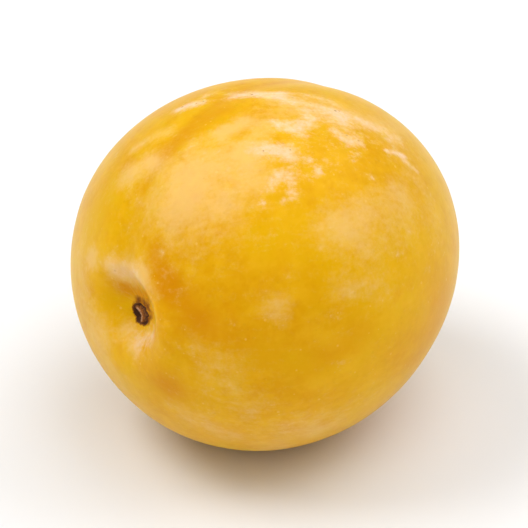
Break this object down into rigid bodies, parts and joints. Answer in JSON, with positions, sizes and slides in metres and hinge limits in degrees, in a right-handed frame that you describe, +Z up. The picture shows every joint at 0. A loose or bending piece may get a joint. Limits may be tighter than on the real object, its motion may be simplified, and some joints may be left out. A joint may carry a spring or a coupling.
{
  "type": "plum",
  "caption": "Whole golden plum, as picked: a rounded oval stone fruit with a shallow stem cavity, faint suture and waxy bloom, lying on its side on a small flat spot.",
  "frame": {"origin": "bottom centre of the fruit's box, level with the flat spot it rests on", "axes": "+X from the stem end towards the blossom end, along the floor; +Z up; +Y across the cheeks. The stem axis is raised 6.4 degrees at the stem end, and the suture runs over the top, 12 degrees towards +Y"},
  "size_m": [0.0542, 0.0512, 0.0498],
  "materials": {
    "skin": "satin"
  },
  "bodies": {
    "root": {"plum": "skin"}
  },
  "joints": []
}
